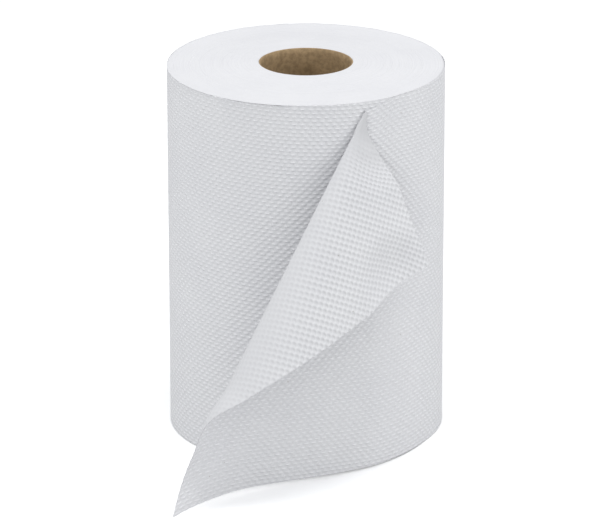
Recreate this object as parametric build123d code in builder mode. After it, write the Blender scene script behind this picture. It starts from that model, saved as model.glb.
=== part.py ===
"""Paper towel roll: a wound towel on a board tube, its loose end peeled and curled.

Millimetres, +Z up, the roll standing on its lower end with its axis on Z.
The viewer stands on the -Y side; azimuths are measured from -Y towards +X.
"""
import os
from math import atan2, cos, exp, hypot, pi, radians, sin, sqrt, tan

from build123d import *

# The wound roll
OUTER_R = 74.0
HEIGHT = 200.5
# Board tube the towel is wound on
CORE_BORE_R = 24.4
CORE_WALL = 0.7
# Embossed paper, and the slack between the last lap and the turn below it
PAPER = 0.4
LAP_SLACK = 0.4
# Turns pushed up along the tube: most beside it, none near the rim
CROWN = 1.2
FLAT_RIM = 12.0
# Groups of turns that show as low steps on the two ends
TURN_STEPS = 2

# Loose end: where its last lap leaves the roll, and its cut edge, along the web
ROOT_AT = -53.0
LIFT_TOP = -32.0
LIFT_BOTTOM = -48.0
FREE_TOP = 98.4
FREE_BOTTOM = 108.5
WEB_INSET = 0.3
# The point near the rim that every bend of the peel runs out from
PEEL_AZ = 25.3
PEEL_ABOVE = 4.5
PEEL_OUT = 6.5
PEEL_TURN = 7.3
PEEL_LEAN = 0.6
PEEL_RISE = 1.9
# Bends met on the way round that point, in degrees from straight down
LAP_BEND = 0.8
FOLD_AT = 28.3
FOLD_BEFORE = 2.2
FOLD_AFTER = 14.9
FOLD_BEND = 12.1
FLAP_BEND = 0.3
# Lower free corner drawn out over the table
CORNER_OUT = (-3.9, -13.5, -2.7)
CORNER_REACH = 47.0
# Least stand-off of the peel from the table and from the turn below
TABLE_EASE = 0.5
LAP_EASE = 0.4

TURNS_BORE_R = CORE_BORE_R + CORE_WALL
LAP_STEP = PAPER + LAP_SLACK
LAP_R = OUTER_R - LAP_SLACK / 4
PEEL_H = HEIGHT + PEEL_ABOVE
ROOT_AZ = PEEL_AZ - ROOT_AT / OUTER_R * 180 / pi


def ease(t):
    """Smooth step from 0 to 1."""
    t = min(max(t, 0.0), 1.0)
    return t * t * (3 - 2 * t)


def bend_at(deg):
    """Bend of the sheet per radian round the peel point; outwards is positive."""
    side = FOLD_BEFORE if deg < FOLD_AT else FOLD_AFTER
    fold = FOLD_BEND * exp(-(((deg - FOLD_AT) / side) ** 2))
    return fold - LAP_BEND * (1 - ease(deg / 14)) + FLAP_BEND * ease((deg - 48) / 12)


def turned(line, side, face, step, bend):
    """Ruling, its square and the sheet's normal, carried one step round the peel point."""
    size = sqrt(1 + bend * bend)
    a = sin(size * step) / size
    b = (1 - cos(size * step)) / size**2
    new_line = line * (1 - b) + side * a + face * (b * bend)
    new_face = face * (1 - b * bend * bend) - side * (a * bend) + line * (b * bend)
    return new_line, new_line.cross(new_face), new_face


# Rulings of the peel, one each half degree either way from straight down
HALF = radians(0.5)
yaw = radians(PEEL_AZ + PEEL_TURN)
lean = radians(PEEL_LEAN)
rise = radians(PEEL_RISE)
outward = Vector(sin(yaw), -cos(yaw), 0)
along = Vector(-cos(yaw), -sin(yaw), 0)
upward = Vector(0, 0, 1)
down = outward * sin(lean) - upward * cos(lean)
start_face = outward * cos(lean) + upward * sin(lean)
start_line = down * cos(rise) + along * sin(rise)
start_side = along * cos(rise) - down * sin(rise)
rulings = {}
for way, count in ((1, 190), (-1, 178)):
    line, side, face = start_line, start_side, start_face
    for i in range(count):
        rulings[i * way] = line
        bend = bend_at((i + 0.5) * way / 2)
        line, side, face = turned(line, side, face, HALF * way, bend)

peel_r = OUTER_R + PEEL_OUT
peel_point = Vector(
    peel_r * sin(radians(PEEL_AZ)), -peel_r * cos(radians(PEEL_AZ)), PEEL_H
)


def peeled(s, h):
    """Point of the peeled sheet, s along the web from the peel point, h up the web."""
    reach = hypot(s, PEEL_H - h)
    step = atan2(s, PEEL_H - h) / HALF
    low = int(step // 1)
    part = step - low
    line = rulings[low] * (1 - part) + rulings[low + 1] * part
    pull = max(0.0, 1 - hypot(s - FREE_BOTTOM, h) / CORNER_REACH) ** 2
    point = peel_point + line.normalized() * reach + Vector(*CORNER_OUT) * pull
    inset = hypot(point.X, point.Y) - LAP_R
    spread = 1 + (hypot(inset, 2 * LAP_EASE) - inset) / 2 / (inset + LAP_R)
    height = (point.Z + hypot(point.Z, 2 * TABLE_EASE)) / 2
    return Vector(point.X * spread, point.Y * spread, height)


def sheet_point(s, h):
    """Outer face of the last lap: round the roll first, then easing into the peel."""
    az = radians(PEEL_AZ) - s / OUTER_R
    wound = Vector(LAP_R * sin(az), -LAP_R * cos(az), h)
    start = LIFT_BOTTOM + (LIFT_TOP - LIFT_BOTTOM) * h / HEIGHT
    share = ease((s - start) / (-2.5 - start))
    return wound * (1 - share) + peeled(s, h) * share if share > 0 else wound


def sheet_back(s, h):
    """Inner face of the lap, one paper thickness behind the outer one."""
    step = 0.02
    run = sheet_point(s + step, h) - sheet_point(s - step, h)
    climb = sheet_point(s, h + step) - sheet_point(s, h - step)
    return sheet_point(s, h) + run.cross(climb).normalized() * PAPER


# The web is drawn as strips of straight lines from its upper edge to its far edges
BANDS = (0.0, 0.2, 0.55, 0.85, 1.0)
WEB_TOP = HEIGHT - WEB_INSET
UPPER_DROP = PEEL_H - WEB_TOP
SLANT = (FREE_TOP - FREE_BOTTOM) / HEIGHT
CORNER_S = FREE_BOTTOM + SLANT * WEB_INSET
TIP_S = FREE_BOTTOM + SLANT * WEB_TOP
CORNER_TURN = atan2(CORNER_S, PEEL_H - WEB_INSET)
TIP_TURN = radians(75)
FOLD_S = UPPER_DROP * tan(CORNER_TURN)


def lap_line(t):
    """Upright lines, from the lap's root to the peel point."""
    s = ROOT_AT * (1 - t)
    return (s, WEB_TOP), (s, WEB_INSET)


def tail_line(t):
    """Lines out from the peel point to the lower edge, as far as its free corner."""
    near = t * (1.6 - 0.6 * t)
    return (FOLD_S * near, WEB_TOP), (CORNER_S * near, WEB_INSET)


def flap_line(t):
    """Lines out from the peel point to the cut edge, closest together at the fold."""
    turn = CORNER_TURN + (TIP_TURN - CORNER_TURN) * t * (0.4 + 0.6 * t)
    reach = (FREE_BOTTOM + SLANT * PEEL_H) / (sin(turn) + SLANT * cos(turn))
    return (UPPER_DROP * tan(turn), WEB_TOP), (reach * sin(turn), PEEL_H - reach * cos(turn))


def tip_line(t):
    """Lines across the flap's tip, closing on the upper part of the cut edge."""
    (high_s, _), (_, low) = flap_line(1)
    low += (WEB_TOP - low) * t / 2
    return (high_s * (TIP_S / high_s) ** t, WEB_TOP), (FREE_BOTTOM + SLANT * low, low)


def strip_edges(point_at, line_at, count):
    """One smooth edge along each band of a strip."""
    edges = []
    for band in BANDS:
        points = []
        for i in range(count + 1):
            (s0, h0), (s1, h1) = line_at(i / count)
            points.append(point_at(s0 + (s1 - s0) * band, h0 + (h1 - h0) * band))
        marks = [i / count for i in range(count + 1)]
        edges.append(Edge.make_spline(points, parameters=marks))
    return edges


def joined(edges, others):
    """Ruled faces between matching edges."""
    return [Face.make_surface_from_curves(a, b) for a, b in zip(edges, others)]


skins = []
for line_at, count in ((lap_line, 8), (tail_line, 14), (flap_line, 24), (tip_line, 6)):
    front = strip_edges(sheet_point, line_at, count)
    back = strip_edges(sheet_back, line_at, count)
    skins += joined(front, front[1:]) + joined(back, back[1:])
    skins += joined([front[0], front[-1]], [back[0], back[-1]])
    if line_at is lap_line:
        root = [edge @ 0 for edge in front] + [edge @ 0 for edge in reversed(back)]
ends = [Edge.make_line(a @ 1, b @ 1) for a, b in zip(front, front[1:])]
back_ends = [Edge.make_line(a @ 1, b @ 1) for a, b in zip(back, back[1:])]
skins += joined(ends, back_ends)

# Half section of the wound towel, its turns stepping up towards the tube at both ends
ring = (OUTER_R - FLAT_RIM - TURNS_BORE_R) / TURN_STEPS
upper = [(OUTER_R + 1, HEIGHT)]
lower = [(OUTER_R + 1, 0)]
for i in range(TURN_STEPS):
    r = OUTER_R - FLAT_RIM - ring * i
    for level in (CROWN * i / TURN_STEPS, CROWN * (i + 1) / TURN_STEPS):
        upper.append((r, HEIGHT + level))
        lower.append((r, level))
upper.append((TURNS_BORE_R, HEIGHT + CROWN))
lower.append((TURNS_BORE_R, CROWN))

# Board tube
with BuildPart() as core:
    with BuildSketch(Plane.XY):
        Circle(TURNS_BORE_R)
        Circle(CORE_BORE_R, mode=Mode.SUBTRACT)
    extrude(amount=HEIGHT)
core.part.label = "core"

# Winding: every turn but the loose end, with the step its last lap leaves from
with BuildPart() as winding:
    with BuildSketch(Plane.XY.rotated((0, 0, ROOT_AZ - 90))):
        with BuildLine():
            under = CenterArc((-LAP_STEP / 4, 0), OUTER_R - LAP_STEP * 3 / 4, 0, -180)
            over = CenterArc((LAP_STEP / 4, 0), OUTER_R - LAP_STEP / 4, 0, 180)
            Line(under @ 0, over @ 0)
        make_face()
    extrude(amount=HEIGHT + CROWN)
    with BuildSketch(Plane.XZ):
        with BuildLine():
            Polyline(*upper)
            Polyline(*lower)
            Line(upper[0], lower[0])
            Line(upper[-1], lower[-1])
        make_face()
    revolve(axis=Axis.Z, mode=Mode.INTERSECT)

# Towel: the loose end grows out of the step, so winding and end are one web of paper
step = winding.faces().sort_by_distance(sum(root, Vector()) / len(root))[0]
others = [face for face in winding.faces() if face != step]
opened = step.make_holes([Wire.make_polygon(root)])
with BuildPart() as towel:
    add(Solid(Shell([opened, *others, *skins])))
towel.part.label = "towel"

os.makedirs("parts", exist_ok=True)
export_step(core.part, "parts/core.step")
export_step(towel.part, "parts/towel.step")
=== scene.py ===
"""Paper towel roll standing on a pale table, its loose end peeled off and folded over."""
from math import cos, hypot, pi, radians, sin

import bpy
import numpy as np
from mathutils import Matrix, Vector


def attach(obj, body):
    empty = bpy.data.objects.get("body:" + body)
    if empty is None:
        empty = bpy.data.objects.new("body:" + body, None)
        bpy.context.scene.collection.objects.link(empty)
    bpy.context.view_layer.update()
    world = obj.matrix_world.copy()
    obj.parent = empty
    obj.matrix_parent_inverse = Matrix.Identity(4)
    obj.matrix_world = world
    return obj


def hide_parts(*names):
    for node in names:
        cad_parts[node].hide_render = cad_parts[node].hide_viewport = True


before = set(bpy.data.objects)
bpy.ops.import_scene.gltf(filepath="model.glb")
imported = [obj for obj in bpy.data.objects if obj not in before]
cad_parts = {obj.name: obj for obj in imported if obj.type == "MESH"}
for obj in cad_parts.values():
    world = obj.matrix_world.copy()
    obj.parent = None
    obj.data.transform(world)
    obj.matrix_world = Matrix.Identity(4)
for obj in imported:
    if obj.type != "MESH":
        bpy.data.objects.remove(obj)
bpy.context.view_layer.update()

# Board tube
# A paperboard tube wound from strips laid in a helix and glued; the towel is wound on it.
# Its cut ends lie about level with the turns around it.
# Sizes are in millimetres, which MM turns into the scene's metres; noise scales are per metre
MM = 0.001
TUBE_BORE_R = 24.4
TUBE_WALL = 0.7
TUBE_HEIGHT = 201.5
TUBE_EDGE = 0.15
TUBE_ROUND = 180
TUBE_UP = 61
STRIP_LEAD = 118.0
STRIP_START = 104.5
SEAM_HALF = 0.4
SEAM_SHARE = 0.35
BOARD_CLOUDS = 110.0
BOARD_FIBRES = 420.0
BOARD_FIBRE_SHARE = 0.5
BOARD_GRAINS = 480.0
BOARD_RELIEF = 0.15
BOARD_DARK = (0.29, 0.195, 0.10)
BOARD_LIGHT = (0.43, 0.30, 0.165)
FIBRE_BROWN = (0.47, 0.35, 0.205)
SEAM_BROWN = (0.12, 0.08, 0.045)
GRAIN_DARK = (0.86, 0.85, 0.84)
GRAIN_LIGHT = (1.12, 1.12, 1.12)


def grid_faces(rows, columns, closed_rows=False, closed_columns=False):
    """Quads of a grid of points; a closed direction joins its last line to its first."""
    row = np.arange(rows if closed_rows else rows - 1)[:, None]
    column = np.arange(columns if closed_columns else columns - 1)[None, :]
    next_row = (row + 1) % rows
    next_column = (column + 1) % columns
    corners = [row * columns + column, row * columns + next_column,
               next_row * columns + next_column, next_row * columns + column]
    return np.stack([np.broadcast_to(c, corners[2].shape) for c in corners], -1).reshape(-1, 4)


def add_piece(name, points, faces, material, normals=None, web_place=None):
    """Smooth mesh object from points in millimetres, with a normal for each face corner if given.

    web_place is each point's place on the flat web: along it, up it, and how strongly its dots
    stand out there, as a share that is negative on the back; where that share is small the
    paper gets painted shade.
    """
    mesh = bpy.data.meshes.new(name)
    mesh.from_pydata(points.reshape(-1, 3) * MM, [], faces)
    mesh.polygons.foreach_set("use_smooth", np.ones(len(faces), dtype=bool))
    mesh.materials.append(material)
    if web_place is not None:
        web = mesh.attributes.new("web", "FLOAT_VECTOR", "POINT")
        web.data.foreach_set("vector", web_place.astype(np.float32).ravel())
    mesh.update()
    if normals is not None:
        mesh.normals_split_custom_set(normals.reshape(-1, 3))
    piece = bpy.data.objects.new(name, mesh)
    bpy.context.scene.collection.objects.link(piece)
    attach(piece, "root")
    return piece


class Nodes:
    """Short way to add a material's shader nodes and link them."""

    def __init__(self, material):
        material.use_nodes = True
        self.tree = material.node_tree
        self.shader = self.tree.nodes["Principled BSDF"]

    def add(self, kind, **settings):
        node = self.tree.nodes.new("ShaderNode" + kind)
        for name, value in settings.items():
            setattr(node, name, value)
        return node

    def link(self, source, target):
        self.tree.links.new(source, target)

    def math(self, operation, a, b=0.0):
        node = self.add("Math", operation=operation)
        for socket, value in zip(node.inputs, (a, b)):
            if isinstance(value, (int, float)):
                socket.default_value = value
            else:
                self.link(value, socket)
        return node.outputs[0]

    def noise(self, vector, scale, detail=4.0, roughness=0.55):
        node = self.add("TexNoise")
        node.inputs["Scale"].default_value = scale
        node.inputs["Detail"].default_value = detail
        node.inputs["Roughness"].default_value = roughness
        self.link(vector, node.inputs["Vector"])
        return node.outputs["Fac"]

    def ramp(self, value, *stops):
        node = self.add("ValToRGB")
        elements = node.color_ramp.elements
        while len(elements) < len(stops):
            elements.new(0.5)
        for element, (place, colour) in zip(elements, stops):
            element.position = place
            element.color = (*colour, 1)
        self.link(value, node.inputs["Fac"])
        return node.outputs["Color"]

    def mix(self, share, a, b, blend="MIX"):
        node = self.add("Mix", data_type="RGBA", blend_type=blend)
        for socket, value in ((node.inputs[0], share), (node.inputs[6], a), (node.inputs[7], b)):
            if isinstance(value, (int, float)):
                socket.default_value = value
            elif isinstance(value, tuple):
                socket.default_value = (*value, 1)
            else:
                self.link(value, socket)
        return node.outputs[2]

    def bump(self, height, distance, below=None):
        node = self.add("Bump")
        node.inputs["Strength"].default_value = 1.0
        node.inputs["Distance"].default_value = distance * MM
        self.link(height, node.inputs["Height"])
        if below is not None:
            self.link(below, node.inputs["Normal"])
        return node.outputs["Normal"]

    def feeding(self, name):
        """The output that now feeds a socket of the shader."""
        return self.shader.inputs[name].links[0].from_socket


tube_board = bpy.data.materials.new("tube_board")
board = Nodes(tube_board)
board_place = board.add("TexCoord").outputs["Object"]
board_axes = board.add("SeparateXYZ")
board.link(board_place, board_axes.inputs[0])
board_x, board_y, board_z = board_axes.outputs
# Height above the strip's edge: the height less the helix's climb, repeated at each turn of it
helix = board.math("MULTIPLY", board.math("ARCTAN2", board_y, board_x), STRIP_LEAD * MM / (2 * pi))
above = board.math("SUBTRACT", board.math("SUBTRACT", board_z, helix), STRIP_START * MM)
seam = board.math("LESS_THAN", board.math("PINGPONG", above, STRIP_LEAD * MM / 2), SEAM_HALF * MM)
board_fibre = board.noise(board_place, BOARD_FIBRES, 6.0, 0.7)
board_cloud = board.noise(board_place, BOARD_CLOUDS)
board_tint = board.ramp(board_cloud, (0.3, BOARD_DARK), (0.7, BOARD_LIGHT))
fibre_share = board.math("MULTIPLY", board_fibre, BOARD_FIBRE_SHARE)
board_tint = board.mix(fibre_share, board_tint, FIBRE_BROWN)
grain = board.noise(board_place, BOARD_GRAINS, 3.0)
grain_shade = board.ramp(grain, (0.4, GRAIN_DARK), (0.6, GRAIN_LIGHT))
board_tint = board.mix(1.0, board_tint, grain_shade, "MULTIPLY")
board_tint = board.mix(board.math("MULTIPLY", seam, SEAM_SHARE), board_tint, SEAM_BROWN)
board.link(board_tint, board.shader.inputs["Base Color"])
board.shader.inputs["Roughness"].default_value = 0.85
board.link(board.bump(board_fibre, BOARD_RELIEF), board.shader.inputs["Normal"])

# Profile round the wall: up the bore, over the top rim, down the outside, under the lower rim
tube_turn = np.linspace(0, 2 * pi, TUBE_ROUND, endpoint=False)
tube_z = np.clip(np.linspace(0, TUBE_HEIGHT, TUBE_UP), TUBE_EDGE, TUBE_HEIGHT - TUBE_EDGE)
bore_side = np.stack([np.full(TUBE_UP, TUBE_BORE_R), tube_z], 1)
outer_side = np.stack([np.full(TUBE_UP, TUBE_BORE_R + TUBE_WALL), tube_z[::-1]], 1)
rim_in = TUBE_BORE_R + TUBE_EDGE
rim_out = TUBE_BORE_R + TUBE_WALL - TUBE_EDGE
top_rim = [[rim_in, TUBE_HEIGHT], [rim_out, TUBE_HEIGHT]]
low_rim = [[rim_out, 0], [rim_in, 0]]
profile = np.concatenate([bore_side, top_rim, outer_side, low_rim])
profile_r = profile[:, :1]
tube_points = np.stack([profile_r * np.sin(tube_turn), -profile_r * np.cos(tube_turn),
                        np.repeat(profile[:, 1:], TUBE_ROUND, 1)], -1)
tube_faces = grid_faces(*tube_points.shape[:2], closed_rows=True, closed_columns=True)
core_tube = add_piece("core_tube", tube_points, tube_faces[:, ::-1], tube_board)
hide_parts("core")

# Wound towel
# One long web of two-ply tissue, embossed with small raised dots and wound tightly on the tube.
# The skin is the outermost turn; each turn sits one paper and a little slack inside the next.
OUTER_R = 74.0
HEIGHT = 200.5
LAP_R = 73.9
LAP_STEP = 0.28
PAPER = 0.26
PEEL_AZ = 25.3
SKIN_FROM = 100.0
SKIN_ROUND = 448
SKIN_UP = 194
SKIN_SHORT = 0.05
TOP_ROUGH = 0.05
LOW_ROUGH = 0.04
EDGE_BEHIND = 3.0
# The last full turn has slipped down a little: how far, and between which azimuths
SLIP = 0.5
SLIP_FROM = 262.0
SLIP_FROM_OVER = 20.0
SLIP_LEAST = 0.7
SLIP_MORE = 300.0
SLIP_MORE_OVER = 40.0
SLIP_END = 351.0
SLIP_END_OVER = 6.0
# Embossed dots, raised on the front of the web and hollow on its back
DOT_PITCH = 4.16
DOT_SKEW = 0.032
DOT_RELIEF = 0.12
DOT_HEIGHT = 0.55
DOT_SQUEEZE = 5.0
HOLLOW_SQUEEZE = 2.0
BACK_RAISED = 0.3
# Painted light and shade of the dots: the domes' tops painted lighter, the ground between them and the
# back's hollows painted darker
HOLLOW_PAINTED_SHADE = (0.83, 0.83, 0.83)
GROUND_PAINTED_SHADE = (0.875, 0.875, 0.875)
DOT_PAINTED_LIGHT = (1.065, 1.065, 1.065)
# Painted shade where the paper is drawn flat, along the fold and near the peel point
DRAWN_FLAT_PAINTED_SHADE = 0.135
# Tissue: its whites, and the stray flecks in it
TISSUE_CLOUDS = 30.0
TISSUE_FIBRES = 900.0
TISSUE_FIBRE_SHARE = 0.1
TISSUE_RELIEF = 0.1
TISSUE_DULL = (0.845, 0.848, 0.872)
TISSUE_WHITE = (0.872, 0.875, 0.895)
FIBRE_GREY = (0.74, 0.74, 0.75)
FLECKS = 120.0
FLECK_ABSENT = 0.86
FLECK_SIZE = 0.042
FLECK_SHARE = 0.5
FLECK_BROWN = (0.33, 0.28, 0.22)


def dot_relief(s, h):
    """Broad relief of the raised dots, which stand in a centred square lattice.

    A cosine along the web times one up the web, both turned by the small skew of the rolls.
    """
    wave = 2 * pi / DOT_PITCH
    return DOT_RELIEF * np.cos(wave * (s + DOT_SKEW * h)) * np.cos(wave * (h - DOT_SKEW * s))


def tissue(name):
    """Soft white tissue: cool white, faint clouds, fine fibres and a few stray flecks."""
    material = bpy.data.materials.new(name)
    paper = Nodes(material)
    place = paper.add("TexCoord").outputs["Object"]
    cloud = paper.noise(place, TISSUE_CLOUDS)
    fibre = paper.noise(place, TISSUE_FIBRES, 6.0, 0.7)
    tint = paper.ramp(cloud, (0.35, TISSUE_DULL), (0.65, TISSUE_WHITE))
    tint = paper.mix(paper.math("MULTIPLY", fibre, TISSUE_FIBRE_SHARE), tint, FIBRE_GREY)
    fleck = paper.add("TexVoronoi", feature="F1")
    fleck.inputs["Scale"].default_value = FLECKS
    paper.link(place, fleck.inputs["Vector"])
    pick = paper.add("SeparateColor")
    paper.link(fleck.outputs["Color"], pick.inputs[0])
    rare = paper.math("GREATER_THAN", pick.outputs[0], FLECK_ABSENT)
    near = paper.math("LESS_THAN", fleck.outputs["Distance"], FLECK_SIZE)
    fleck_share = paper.math("MULTIPLY", paper.math("MULTIPLY", rare, near), FLECK_SHARE)
    tint = paper.mix(fleck_share, tint, FLECK_BROWN)
    paper.link(tint, paper.shader.inputs["Base Color"])
    paper.shader.inputs["Roughness"].default_value = 0.95
    paper.shader.inputs["Specular IOR Level"].default_value = 0.15
    paper.link(paper.bump(fibre, TISSUE_RELIEF), paper.shader.inputs["Normal"])
    return material


def emboss(material):
    """Presses the dots into a tissue: a low oval dome at every point of the lattice.

    With c the raised cosine along the web and d the one up it, the domes are c times a power of d
    plus, for the rows between, 1 - c times that power of 1 - d. The back has them hollow, and by a
    smaller power rounder. The colour is painted lighter on the domes and darker on the ground and
    in the hollows, and darker where the paper is drawn flat: painted light and shade.
    """
    paper = Nodes(material)
    web = paper.add("SeparateXYZ")
    paper.link(paper.add("Attribute", attribute_name="web").outputs["Vector"], web.inputs[0])
    s, h, face = web.outputs

    def raised_cosine(run):
        wave = paper.math("COSINE", paper.math("MULTIPLY", run, 2 * pi / DOT_PITCH))
        return paper.math("ADD", paper.math("MULTIPLY", wave, 0.5), 0.5)

    c = raised_cosine(paper.math("ADD", s, paper.math("MULTIPLY", h, DOT_SKEW)))
    d = raised_cosine(paper.math("SUBTRACT", h, paper.math("MULTIPLY", s, DOT_SKEW)))
    behind = paper.math("LESS_THAN", face, 0.0)
    squeeze_less = paper.math("MULTIPLY", behind, HOLLOW_SQUEEZE - DOT_SQUEEZE)
    power = paper.math("ADD", squeeze_less, DOT_SQUEEZE)
    domes = paper.math("MULTIPLY", c, paper.math("POWER", d, power))
    between = paper.math("MULTIPLY", paper.math("SUBTRACT", 1.0, c),
                         paper.math("POWER", paper.math("SUBTRACT", 1.0, d), power))
    dots = paper.math("ADD", domes, between)
    # On the back the paper between the hollows stands proud of the sheet's middle
    middle = paper.math("MULTIPLY", behind, BACK_RAISED)
    height = paper.math("MULTIPLY", paper.math("SUBTRACT", dots, middle), face)
    level = paper.math("ADD", paper.math("MULTIPLY", height, 0.5), 0.5)
    # Painted light on the domes, painted shade on the ground between them and in the hollows
    shade = paper.ramp(level, (0.15, HOLLOW_PAINTED_SHADE), (0.5, GROUND_PAINTED_SHADE), (0.86, DOT_PAINTED_LIGHT))
    # Painted shade where the paper is drawn flat, along the fold and near the peel point
    drawn = paper.math("SUBTRACT", 1.0, paper.math("ABSOLUTE", face))
    drawn_flat_painted_shade = paper.math("SUBTRACT", 1.0, paper.math("MULTIPLY", drawn, DRAWN_FLAT_PAINTED_SHADE))
    shade = paper.mix(1.0, shade, drawn_flat_painted_shade, "MULTIPLY")
    tint = paper.mix(1.0, paper.feeding("Base Color"), shade, "MULTIPLY")
    paper.link(tint, paper.shader.inputs["Base Color"])
    relief = paper.bump(height, DOT_HEIGHT, below=paper.feeding("Normal"))
    paper.link(relief, paper.shader.inputs["Normal"])


web_tissue = tissue("web_tissue")
emboss(web_tissue)
rng = np.random.default_rng(7)


def rough_edge(angle, size):
    """Small unevenness of a cut edge: sine waves, 5 to 57 round the roll, with random phase."""
    waves = np.arange(5, 60, 4)
    phase = rng.uniform(0, 2 * pi, len(waves))
    return size * np.sin(waves[:, None] * angle + phase[:, None]).sum(0) / np.sqrt(len(waves))


def smooth_step(t):
    """Smooth step from 0 to 1: three times t squared less twice t cubed."""
    t = np.clip(t, 0, 1)
    return t * t * (3 - 2 * t)


def slip_share(deg):
    """How much of the slip each azimuth has, most just to the left of the loose end.

    A smooth rise at the left, a smaller second one and a smooth fall, multiplied together.
    """
    rise = smooth_step((deg - SLIP_FROM) / SLIP_FROM_OVER)
    more = SLIP_LEAST + (1 - SLIP_LEAST) * smooth_step((deg - SLIP_MORE) / SLIP_MORE_OVER)
    return more * rise * (1 - smooth_step((deg - SLIP_END) / SLIP_END_OVER))


# Skin: once round from behind the loose end, drawing in by one step; rows climb the web
skin_deg = np.linspace(SKIN_FROM, SKIN_FROM + 360, SKIN_ROUND)
skin_rad = np.radians(skin_deg)
skin_s = np.radians(PEEL_AZ - skin_deg) * OUTER_R
skin_r = LAP_R - LAP_STEP * (skin_deg - SKIN_FROM) / 360
top_edge = HEIGHT - SKIN_SHORT - SLIP * slip_share(skin_deg) + rough_edge(skin_rad, TOP_ROUGH)
low_edge = SKIN_SHORT + np.abs(rough_edge(skin_rad, LOW_ROUGH))
skin_h = low_edge + (top_edge - low_edge) * np.linspace(0, 1, SKIN_UP)[:, None]
skin_out = np.stack([np.sin(skin_rad), -np.cos(skin_rad), 0 * skin_rad], -1)
up = np.array([0.0, 0.0, 1.0])
dotted_r = skin_r[None] + dot_relief(skin_s[None], skin_h)
skin_front = dotted_r[..., None] * skin_out[None] + skin_h[..., None] * up
# The turn's own edges: one paper thick, then a short way along its back
back_r = (skin_r - PAPER)[:, None] * skin_out
back_rows = [(back_r + level[:, None] * up)[None]
             for level in (low_edge + EDGE_BEHIND, low_edge, top_edge, top_edge - EDGE_BEHIND)]
skin_points = np.concatenate(back_rows[:2] + [skin_front] + back_rows[2:])
back_normals = [np.broadcast_to(normal, back_rows[0].shape)
                for normal in (-skin_out, -up, up, -skin_out)]
front_normals = np.broadcast_to(skin_out[None], skin_front.shape)
skin_normals = np.concatenate(back_normals[:2] + [front_normals] + back_normals[2:])
skin_place = np.stack([np.broadcast_to(skin_s, skin_points.shape[:2]), skin_points[..., 2],
                       np.ones(skin_points.shape[:2])], -1)
skin_faces = grid_faces(*skin_points.shape[:2], closed_columns=True)
wound_towel = add_piece("wound_towel", skin_points, skin_faces, web_tissue,
                        skin_normals.reshape(-1, 3)[skin_faces], skin_place)
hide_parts("towel")

# Ends of the winding
# The cut edges of about two hundred turns of tissue, seen end on: fine rings, some a hair
# higher than others, pushed up slightly towards the tube they are wound on. Their colour is
# darkened all over and more in fine lines, as painted shade between the turns.
TURNS_BORE_R = 25.1
CROWN = 1.2
FLAT_RIM = 12.0
RING = 0.28
RING_UNEVEN = 0.05
RING_FADE = 2.0
FADE_RINGS = 12
RING_DRIFT = 0.35
DRIFT_TWIST = 0.4
LEVEL_RINGS = 3
END_ROUND = 360
OVERHANG = 0.85
SKIN_GAP = 0.02
TUBE_SIDE = 4.0
SKIN_SIDE = 0.5
RING_LINES = 1600.0
RING_RELIEF = 0.15
# Painted shade between the turns: both stops darken the end, the first more
RING_GAP_PAINTED_SHADE = (0.915, 0.912, 0.915)
RING_EDGE_PAINTED_SHADE = (0.955, 0.952, 0.955)


def ring_heights(radii, size):
    """Uneven heights of the turns: random steps from ring to ring that die away exponentially."""
    steps = rng.normal(0, 1, len(radii))
    kernel = np.exp(-np.arange(FADE_RINGS) / RING_FADE)
    return size * np.convolve(steps, kernel)[:len(radii)] / np.sqrt((kernel**2).sum())


end_tissue = tissue("end_tissue")
rings = Nodes(end_tissue)
ring_axes = rings.add("SeparateXYZ")
rings.link(rings.add("TexCoord").outputs["Object"], ring_axes.inputs[0])
squares = [rings.math("POWER", ring_axes.outputs[i], 2.0) for i in range(2)]
ring_lines = rings.add("TexNoise", noise_dimensions="1D")
ring_lines.inputs["Scale"].default_value = RING_LINES
ring_lines.inputs["Detail"].default_value = 3.0
rings.link(rings.math("SQRT", rings.math("ADD", *squares)), ring_lines.inputs["W"])
line_level = ring_lines.outputs["Fac"]
# Painted shade between the turns: fine darker lines and a darkening of the whole end
ring_painted_shade = rings.ramp(line_level, (0.3, RING_GAP_PAINTED_SHADE), (0.6, RING_EDGE_PAINTED_SHADE))
ring_shaded_colour = rings.mix(1.0, rings.feeding("Base Color"), ring_painted_shade, "MULTIPLY")
rings.link(ring_shaded_colour, rings.shader.inputs["Base Color"])
ring_bump = rings.bump(line_level, RING_RELIEF, below=rings.feeding("Normal"))
rings.link(ring_bump, rings.shader.inputs["Normal"])

end_turn = np.linspace(0, 2 * pi, END_ROUND, endpoint=False)
end_r = np.arange(TURNS_BORE_R, LAP_R - PAPER, RING)
outward_share = (end_r - TURNS_BORE_R) / (end_r[-1] - TURNS_BORE_R)
push = CROWN * (1 - smooth_step((end_r - TURNS_BORE_R) / (OUTER_R - FLAT_RIM - TURNS_BORE_R)))
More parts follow.
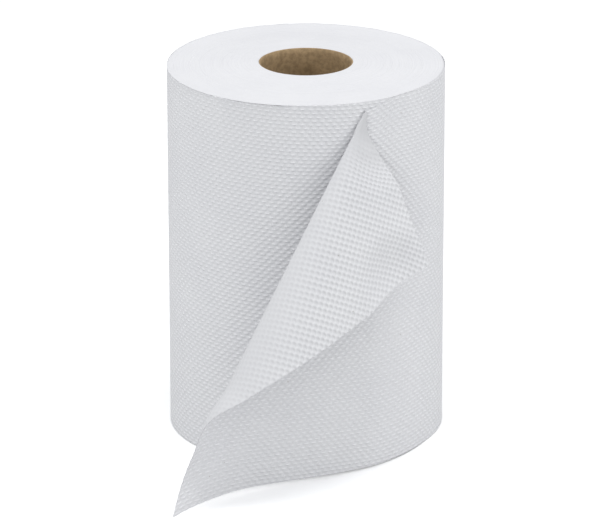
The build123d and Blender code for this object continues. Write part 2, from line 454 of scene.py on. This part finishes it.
# The rings reach out to the back of the skin, which draws in by one step round the roll
end_deg = SKIN_FROM + (np.degrees(end_turn) - SKIN_FROM) % 360
inside_skin = LAP_R - LAP_STEP * (end_deg - SKIN_FROM) / 360 - PAPER - SKIN_GAP
for name, level, way, overhang in (("upper_end", HEIGHT, 1, OVERHANG), ("lower_end", 0.0, -1, 0.0)):
    # At the top the turns bulge over the edge of the one that has slipped down
    rim_r = inside_skin + overhang * slip_share(end_deg)
    ring_r = TURNS_BORE_R + outward_share[:, None] * (rim_r - TURNS_BORE_R)
    uneven = ring_heights(end_r, RING_UNEVEN)
    uneven[-LEVEL_RINGS:] = 0
    # The unevenness swells and fades twice round the roll, turning a little from ring to ring
    drift = 1 + RING_DRIFT * np.sin(end_turn[None, :] * 2 + end_r[:, None] * DRIFT_TWIST)
    ring_z = np.maximum(level + push[:, None] + uneven[:, None] * drift, 0.0)
    # Short walls along the tube and behind the skin's edge
    wall_r = np.concatenate([ring_r[:1], ring_r, inside_skin[None]])
    wall_z = np.concatenate([ring_z[:1] - TUBE_SIDE * way, ring_z, ring_z[-1:] - SKIN_SIDE * way])
    end_points = np.stack([wall_r * np.sin(end_turn), -wall_r * np.cos(end_turn), wall_z], -1)
    end_faces = grid_faces(*end_points.shape[:2], closed_columns=True)
    if way > 0:
        end_faces = end_faces[:, ::-1]
    winding_end = add_piece(name, end_points, end_faces, end_tissue)

# Loose end
# The last lap of the same web, peeled off at the right, drawn to the left over the table and
# folded over on itself: its cut end hangs before the roll as a flap that shows the web's back.
FREE_TOP = 98.4
FREE_BOTTOM = 108.5
WEB_INSET = 0.3
WEB_PROUD = 0.3
WEB_UP = 193
WEB_ALONG = 247
PROBE = 0.05
# Where the lap starts to leave the roll, and where it has left it
LIFT_TOP = -20.0
LIFT_BOTTOM = -48.0
LIFT_DONE = -2.5
# The point near the rim that every bend of the peel runs out from
PEEL_ABOVE = 4.5
PEEL_OUT = 6.5
PEEL_TURN = 7.3
PEEL_LEAN = 0.6
PEEL_RISE = 1.9
# Bends met on the way round that point, in degrees from straight down
LAP_BEND = 0.8
LAP_BEND_TO = 14.0
FOLD_AT = 28.3
FOLD_BEFORE = 2.2
FOLD_AFTER = 14.9
FOLD_BEND = 12.1
FLAP_BEND = 0.3
FLAP_BEND_FROM = 48.0
FLAP_BEND_OVER = 12.0
# Straight lines of the peel: their spacing, and how many lie each way from straight down
LINE_STEP = 0.25
LINES_AHEAD = 380
LINES_BACK = 356
# How far the free corner is drawn out, and the peel point back against the roll
CORNER_OUT = np.array([-3.4, -18.5, -2.7])
CORNER_REACH = 47.0
DRAWN_BACK = np.array([0.1, 8.4, -2.75])
# Small pulls that the paper has taken: place on the web, reach, and how far it is drawn
PULLS = (((2.5, 200.0), 34.0, (-0.7, -0.8, -0.5)), ((22.0, 200.0), 30.0, (-2.2, 0.7, -5.6)),
         ((92.0, 178.0), 26.0, (-2.3, 3.6, 1.0)), ((99.0, 200.0), 40.0, (1.0, -1.8, 0.6)),
         ((12.0, 200.0), 12.0, (-2.0, 0.0, 0.0)), ((106.0, 50.0), 22.0, (-2.8, 0.0, 1.6)))
# Least stand-off of the lap, the flap and the table, and where the flap's takes over
LAP_EASE = 0.4
FLAP_EASE = 1.5
FLAP_EASE_FROM = 20.0
FLAP_EASE_OVER = 30.0
TABLE_EASE = 0.5
# Where the fold draws the dots flat and painted shade darkens the paper
FLAT_FROM = 8.0
FLAT_TO = 50.0
FOLD_FLAT = 0.25
FOLD_WIDTH = 22.0
PEEL_H = HEIGHT + PEEL_ABOVE


def bend_at(deg):
    """Bend of the sheet per radian round the peel point; outwards is positive.

    A bell at the fold, narrow before it and wide after, less the lap's bend, plus the flap's.
    """
    side = np.where(deg < FOLD_AT, FOLD_BEFORE, FOLD_AFTER)
    fold = FOLD_BEND * np.exp(-(((deg - FOLD_AT) / side) ** 2))
    lap = LAP_BEND * (1 - smooth_step(deg / LAP_BEND_TO))
    return fold - lap + FLAP_BEND * smooth_step((deg - FLAP_BEND_FROM) / FLAP_BEND_OVER)


def peel_lines():
    """Turns round the peel point and the direction of the sheet's straight line at each.

    A sheet bent about lines through one point turns its frame by one radian per radian round
    that point and by the bend about the line itself, so the frame is carried step by step.
    """
    step = radians(LINE_STEP)
    yaw, lean, rise = radians(PEEL_AZ + PEEL_TURN), radians(PEEL_LEAN), radians(PEEL_RISE)
    outward = np.array([sin(yaw), -cos(yaw), 0])
    along = np.array([-cos(yaw), -sin(yaw), 0])
    down = outward * sin(lean) - up * cos(lean)
    start = (down * cos(rise) + along * sin(rise), outward * cos(lean) + up * sin(lean))
    found = {}
    for way, count in ((1, LINES_AHEAD), (-1, LINES_BACK)):
        line, face = start
        for i in range(count):
            found[i * way] = line
            bend = float(bend_at((i + 0.5) * way * LINE_STEP))
            side = np.cross(line, face)
            size = hypot(1, bend)
            a = sin(size * step * way) / size
            b = (1 - cos(size * step)) / size**2
            line, face = (line * (1 - b) + side * a + face * (b * bend),
                          face * (1 - b * bend * bend) - side * (a * bend) + line * (b * bend))
    steps = sorted(found)
    return np.array(steps) * step, np.array([found[i] for i in steps])


peel_turns, peel_ways = peel_lines()
peel_point = np.array([(OUTER_R + PEEL_OUT) * sin(radians(PEEL_AZ)),
                       -(OUTER_R + PEEL_OUT) * cos(radians(PEEL_AZ)), PEEL_H])


def peeled(s, h):
    """Points of the peeled sheet: out from the peel point along its line, then drawn and eased.

    The peel point is drawn back against the roll, less and less towards the far corners. Easing
    is the mean of a distance and its root sum of squares with twice the least stand-off.
    """
    reach = np.hypot(s, PEEL_H - h)
    turns = np.arctan2(s, PEEL_H - h)
    line = np.stack([np.interp(turns, peel_turns, peel_ways[:, i]) for i in range(3)], -1)
    line /= np.linalg.norm(line, axis=-1, keepdims=True)
    corner = np.clip(1 - np.hypot(s - FREE_BOTTOM, h) / CORNER_REACH, 0, None) ** 2
    point = peel_point + line * reach[..., None] + CORNER_OUT * corner[..., None]
    point = point + DRAWN_BACK * np.clip(1 - reach / PEEL_H, 0, 1)[..., None]
    for (along_web, up_web), size, drawn in PULLS:
        share = np.clip(1 - ((s - along_web) ** 2 + (h - up_web) ** 2) / size**2, 0, None) ** 2
        point = point + share[..., None] * np.array(drawn)
    inset = np.hypot(point[..., 0], point[..., 1]) - LAP_R
    on_flap = smooth_step((np.degrees(turns) - FLAP_EASE_FROM) / FLAP_EASE_OVER)
    least = LAP_EASE + (FLAP_EASE - LAP_EASE) * on_flap
    spread = 1 + (np.hypot(inset, 2 * least) - inset) / 2 / (inset + LAP_R)
    height = (point[..., 2] + np.hypot(point[..., 2], 2 * TABLE_EASE)) / 2
    return np.stack([point[..., 0] * spread, point[..., 1] * spread, height], -1)


def web_point(s, h):
    """Last lap: round the roll first, then by a smooth step into the peel."""
    az = radians(PEEL_AZ) - s / OUTER_R
    wound = np.stack([LAP_R * np.sin(az), -LAP_R * np.cos(az), h], -1)
    start = LIFT_BOTTOM + (LIFT_TOP - LIFT_BOTTOM) * h / HEIGHT
    share = smooth_step((s - start) / (LIFT_DONE - start))[..., None]
    return wound * (1 - share) + peeled(s, h) * share


web_width = HEIGHT + WEB_PROUD - WEB_INSET
web_from = np.radians(PEEL_AZ - SKIN_FROM) * OUTER_R
web_h = (WEB_INSET + web_width * np.linspace(0, 1, WEB_UP))[:, None]
web_end = FREE_BOTTOM + (FREE_TOP - FREE_BOTTOM) * web_h / HEIGHT
web_s = web_from + (web_end - web_from) * np.linspace(0, 1, WEB_ALONG)[None, :]
web_h = np.broadcast_to(web_h, web_s.shape)
along = web_point(web_s + PROBE, web_h) - web_point(web_s - PROBE, web_h)
climb = web_point(web_s, web_h + PROBE) - web_point(web_s, web_h - PROBE)
along /= np.linalg.norm(along, axis=-1, keepdims=True)
climb /= np.linalg.norm(climb, axis=-1, keepdims=True)
outward = np.cross(climb, along)
outward /= np.linalg.norm(outward, axis=-1, keepdims=True)
web_front = web_point(web_s, web_h) + outward * dot_relief(web_s, web_h)[..., None]
web_back = web_front - outward * PAPER
# Faces of the front, of the back and of the rim that joins their borders
index = np.arange(web_s.size).reshape(web_s.shape)
front_faces = grid_faces(*web_s.shape)
border = np.concatenate([index[0, :-1], index[:-1, -1], index[-1, :0:-1], index[:0:-1, 0]])
next_on = np.roll(border, -1)
rim_faces = np.stack([border, next_on, next_on + web_s.size, border + web_s.size], -1)
web_faces = np.concatenate([front_faces[:, ::-1], front_faces + web_s.size, rim_faces])
# The rim's normals point away from the web: below it, past its cut end, above it and behind it
rim_normals = np.concatenate([-climb[0, :-1], along[:-1, -1], climb[-1, :0:-1], -along[:0:-1, 0]])
face_normals = outward.reshape(-1, 3)
web_normals = np.concatenate([face_normals[front_faces[:, ::-1]], -face_normals[front_faces],
                              np.repeat(rim_normals[:, None], 4, 1)])
# Inside the fold the dots are drawn flat, along the fold itself and near the peel point, and the
# same share sets the painted shade there
past_fold = np.degrees(np.arctan2(web_s, PEEL_H - web_h)) - FOLD_AT
from_peel = np.hypot(web_s, PEEL_H - web_h)
dots_left = smooth_step((from_peel - FLAT_FROM) / (FLAT_TO - FLAT_FROM))
dots_left = dots_left * (FOLD_FLAT + (1 - FOLD_FLAT) * smooth_step(past_fold / FOLD_WIDTH))
front_place = np.stack([web_s, web_h, np.ones_like(web_s)], -1)
back_place = np.stack([web_s, web_h, -dots_left], -1)
loose_end = add_piece("loose_end", np.stack([web_front, web_back]), web_faces, web_tissue,
                      web_normals, np.stack([front_place, back_place]))

# Table and light
# A plain white sweep that keeps the roll's shadow, under one soft lamp overhead, softboxes at
# the right, the left and the front, and a low even sky that the camera sees as plain white.
# Sizes and places are in metres
TABLE_HALF = 6.0
TABLE_BELOW = 0.0003
TABLE_LIT = (0.74, 0.74, 0.74)
TABLE_SEEN = (1.28, 1.28, 1.28)
SKY_COOL = (0.97, 0.985, 1.0, 1)
SKY_STRENGTH = 0.59
LAMP_AIM = Vector((0, 0, 0.1))
# Each lamp's name, width, power in watts and place
LAMPS = (("overhead", 0.7, 8.9, (0.0, -0.2, 1.8)), ("right_softbox", 1.2, 9.2, (1.6, -0.6, 0.8)),
         ("left_softbox", 1.2, 6.2, (-1.6, -0.6, 0.7)), ("front_softbox", 0.9, 3.3, (-1.0, -1.9, 0.7)))

table_white = bpy.data.materials.new("table_white")
table = Nodes(table_white)
table_ray = table.add("LightPath").outputs["Is Camera Ray"]
table.link(table.mix(table_ray, TABLE_LIT, TABLE_SEEN), table.shader.inputs["Base Color"])
table.shader.inputs["Roughness"].default_value = 1.0
table.shader.inputs["Specular IOR Level"].default_value = 0.0
table_mesh = bpy.data.meshes.new("table")
table_mesh.from_pydata([(x * TABLE_HALF, y * TABLE_HALF, -TABLE_BELOW)
                        for x, y in ((-1, -1), (1, -1), (1, 1), (-1, 1))], [], [(0, 1, 2, 3)])
table_mesh.materials.append(table_white)
table_top = bpy.data.objects.new("table", table_mesh)
bpy.context.scene.collection.objects.link(table_top)

world = bpy.data.worlds.new("studio")
bpy.context.scene.world = world
world.use_nodes = True
world_nodes = world.node_tree.nodes
world_link = world.node_tree.links.new
sky = world_nodes["Background"]
sky.inputs["Color"].default_value = SKY_COOL
sky.inputs["Strength"].default_value = SKY_STRENGTH
plain_white = world_nodes.new("ShaderNodeBackground")
plain_white.inputs["Color"].default_value = (1, 1, 1, 1)
rays = world_nodes.new("ShaderNodeLightPath")
seeing = rays.outputs["Is Camera Ray"]
for kind in ("Is Glossy Ray", "Is Transmission Ray"):
    either = world_nodes.new("ShaderNodeMath")
    either.operation = "MAXIMUM"
    world_link(seeing, either.inputs[0])
    world_link(rays.outputs[kind], either.inputs[1])
    seeing = either.outputs[0]
shown = world_nodes.new("ShaderNodeMixShader")
world_link(seeing, shown.inputs[0])
world_link(sky.outputs[0], shown.inputs[1])
world_link(plain_white.outputs[0], shown.inputs[2])
world_link(shown.outputs[0], world_nodes["World Output"].inputs["Surface"])

for name, width, power, place in LAMPS:
    softbox = bpy.data.lights.new(name, "AREA")
    softbox.shape = "DISK"
    softbox.size = width
    softbox.energy = power
    lamp = bpy.data.objects.new(name, softbox)
    lamp.location = place
    lamp.rotation_euler = (LAMP_AIM - Vector(place)).to_track_quat("-Z", "Y").to_euler()
    bpy.context.scene.collection.objects.link(lamp)

# Camera at the photograph's viewing angle
LENS = 286.121
SENSOR = 36.0
CAMERA_AT = (0.0, -2.447828, 0.960103)
CAMERA_TURN = (70.3851, 0.0456, 0.0155)
lens = bpy.data.cameras.new("camera")
lens.lens = LENS
lens.sensor_width = SENSOR
camera = bpy.data.objects.new("camera", lens)
camera.location = CAMERA_AT
camera.rotation_euler = [radians(turn) for turn in CAMERA_TURN]
bpy.context.scene.collection.objects.link(camera)
bpy.context.scene.camera = camera
bpy.context.scene.view_settings.view_transform = "Standard"
